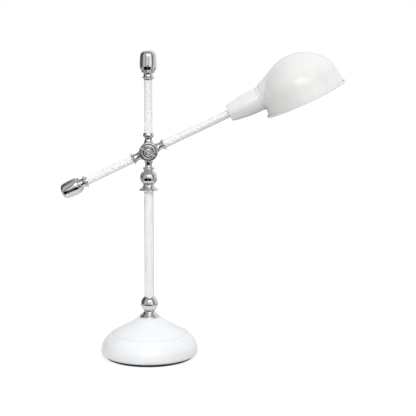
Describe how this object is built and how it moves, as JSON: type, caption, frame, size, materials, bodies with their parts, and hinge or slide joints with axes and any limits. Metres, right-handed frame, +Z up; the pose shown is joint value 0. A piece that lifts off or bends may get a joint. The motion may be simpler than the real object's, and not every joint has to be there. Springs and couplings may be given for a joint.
{
  "type": "counterweight balance desk lamp",
  "caption": "Desk lamp with a weighted dish base, a turned chrome column, a tilting balance arm held by a bar-headed clamp screw, and a white domed shade.",
  "frame": {"origin": "middle of the base pad's underside, on the table", "axes": "+Z up the column, +X towards the shade with the swivel at rest, the clamp screw's head faces -Y"},
  "size_m": [0.4578, 0.16, 0.5],
  "materials": {
    "white_enamel": "gloss cool-white enamel",
    "white_enamel_warm": "gloss warm-white enamel",
    "chrome": "polished plated metal",
    "steel": "plain zinc-plated steel",
    "iron": "rough casting",
    "rubber_black": "matt",
    "fibre": "pressed fibre",
    "brass": "plain turned brass",
    "porcelain": "glazed",
    "shell_metal": "drawn sheet"
  },
  "bodies": {
    "base": {"base_pad": "rubber_black", "base_plate": "steel", "base_weight": "iron", "base_post": "steel", "base_shell": "white_enamel", "base_nipple": "steel", "base_washer": "steel", "base_nut": "steel", "cord_bushing": "rubber_black", "base_fitting": "chrome", "lower_tube": "white_enamel", "onion_fitting": "chrome"},
    "column": {"stem_nut": "steel", "swivel_stem": "steel", "swivel_ring": "chrome", "column_hub": "chrome", "pivot_sleeve": "steel", "friction_washer": "fibre", "wave_washer": "steel", "rear_cap": "chrome", "top_collar": "chrome", "upper_tube": "white_enamel", "finial_collar": "chrome", "finial_knob": "chrome"},
    "dish": {"clamp_dish": "chrome"},
    "screw": {"clamp_screw": "chrome", "crossbar": "chrome"},
    "arm": {"arm_hub": "chrome", "arm_collar_left": "chrome", "arm_collar_right": "chrome", "arm_tube_left": "white_enamel", "arm_tube_right": "white_enamel_warm", "counterweight_collar": "chrome", "counterweight": "chrome", "swivel_plug": "brass", "swivel_washer": "steel", "swivel_nut": "steel"},
    "head": {"socket_cup": "white_enamel_warm", "neck_ring": "white_enamel_warm", "lamp_socket": "porcelain", "screw_shell": "shell_metal", "centre_contact": "brass", "shade_nut": "steel", "shade": "white_enamel_warm"}
  },
  "joints": [
    {"name": "column_swivel", "type": "hinge", "parent": "base", "child": "column", "pos_m": [0, 0, 0.3092], "axis": [0, 0, 1], "range_deg": [-170, 170]},
    {"name": "arm_tilt", "type": "hinge", "parent": "column", "child": "arm", "pos_m": [0, 0, 0.3383], "axis": [0, -1, 0], "range_deg": [-60, 14]},
    {"name": "shade_swivel", "type": "hinge", "parent": "arm", "child": "head", "pos_m": [0.13023, 0, 0.40069], "axis": [0.9018, 0, 0.4321], "range_deg": [-90, 90]},
    {"name": "clamp_travel", "type": "slide", "parent": "column", "child": "dish", "axis": [0, -1, 0], "range_m": [0, 0.0004]},
    {"name": "clamp_turn", "type": "hinge", "parent": "dish", "child": "screw", "pos_m": [0, 0, 0.3383], "axis": [0, -1, 0], "range_deg": [0, 180.1]}
  ],
  "couplings": [
    {"joint": "clamp_turn", "follows": "clamp_travel", "rad_per_m": 7854}
  ]
}
